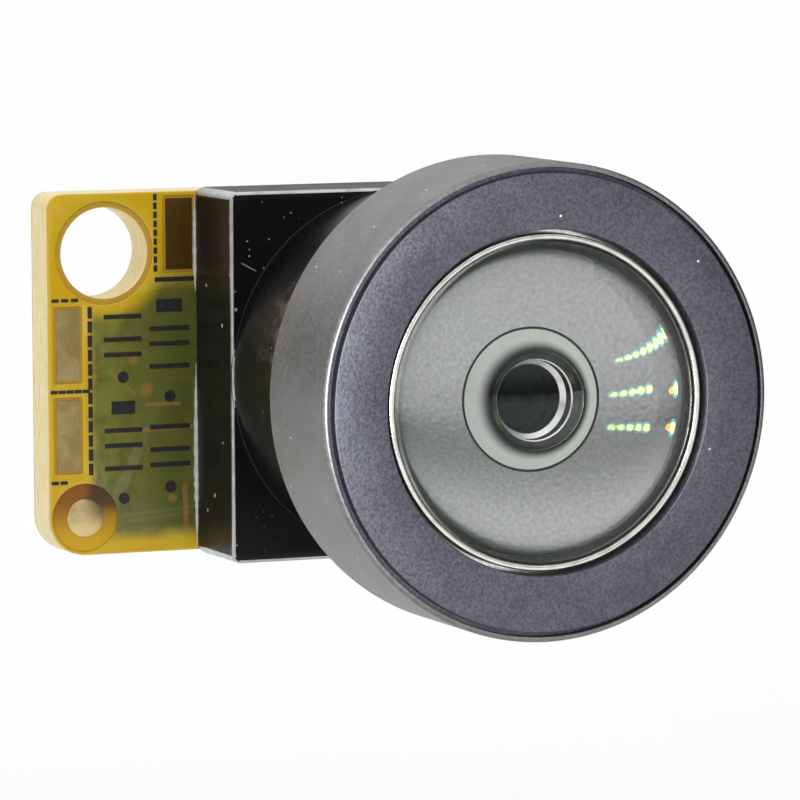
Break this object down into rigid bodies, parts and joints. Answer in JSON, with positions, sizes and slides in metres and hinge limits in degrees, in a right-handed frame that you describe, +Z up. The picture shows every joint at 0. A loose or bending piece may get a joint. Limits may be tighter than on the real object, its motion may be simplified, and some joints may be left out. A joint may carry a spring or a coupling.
{
  "type": "camera module",
  "caption": "Small camera module: a domed wide-angle lens in a round metal barrel, screwed into a square black holder on a circuit board with a screw ear.",
  "frame": {"origin": "on the lens axis, at the rear end of the straight round wall of the barrel's head", "axes": "-Y is the way the lens looks, +Z is up with the screw hole at the top of the ear, +X is to the right for someone who looks along +Y at the lens, so the ear is on the -X side"},
  "size_m": [0.015, 0.0161, 0.012],
  "materials": {
    "barrel_metal": "matte black anodised, fine turned grain",
    "ring_metal": "bead blasted, dark violet grey anodised",
    "bezel_metal": "bright turned edge",
    "front_lens_glass": "polished, coated, with a thin grey haze",
    "inner_lens_glass": "polished, green coated",
    "gasket_rubber": "matte",
    "spacer_black": "matte black anodised",
    "holder_plastic": "glossy black moulding, dusty and scratched",
    "filter_glass": "polished, blue cast",
    "sensor_black": "matte",
    "board_yellow": "yellow solder resist over glass laminate, cream edges",
    "gold": "gold plated, dull",
    "tin": "tinned",
    "connector_plastic": "moulded",
    "chip_ceramic": "matte brown",
    "package_plastic": "moulded, fine grain",
    "oscillator_ceramic": "matte"
  },
  "bodies": {
    "root": {"lens_barrel": "barrel_metal", "trim_ring": "ring_metal", "glass_bezel": "bezel_metal", "front_glass": "front_lens_glass", "front_gasket": "gasket_rubber", "front_spacer": "spacer_black", "second_lens": "inner_lens_glass", "second_spacer": "spacer_black", "third_lens": "inner_lens_glass", "aperture_stop": "spacer_black", "third_spacer": "spacer_black", "fourth_lens": "inner_lens_glass", "fifth_lens": "inner_lens_glass", "rear_spacer": "spacer_black", "sixth_lens": "inner_lens_glass", "rear_lock_ring": "spacer_black", "lens_holder": "holder_plastic", "infrared_filter": "filter_glass", "sensor_body": "sensor_black", "sensor_cover": "filter_glass", "circuit_board": "board_yellow", "gold_pads": "gold", "alignment_mark": "gold", "connector_housing": "connector_plastic", "connector_contacts": "gold", "connector_anchors": "tin", "chip_bodies": "chip_ceramic", "chip_caps": "tin", "regulator": "package_plastic", "regulator_lands_row": "tin", "oscillator_base": "oscillator_ceramic", "oscillator_lid": "tin"}
  },
  "joints": []
}
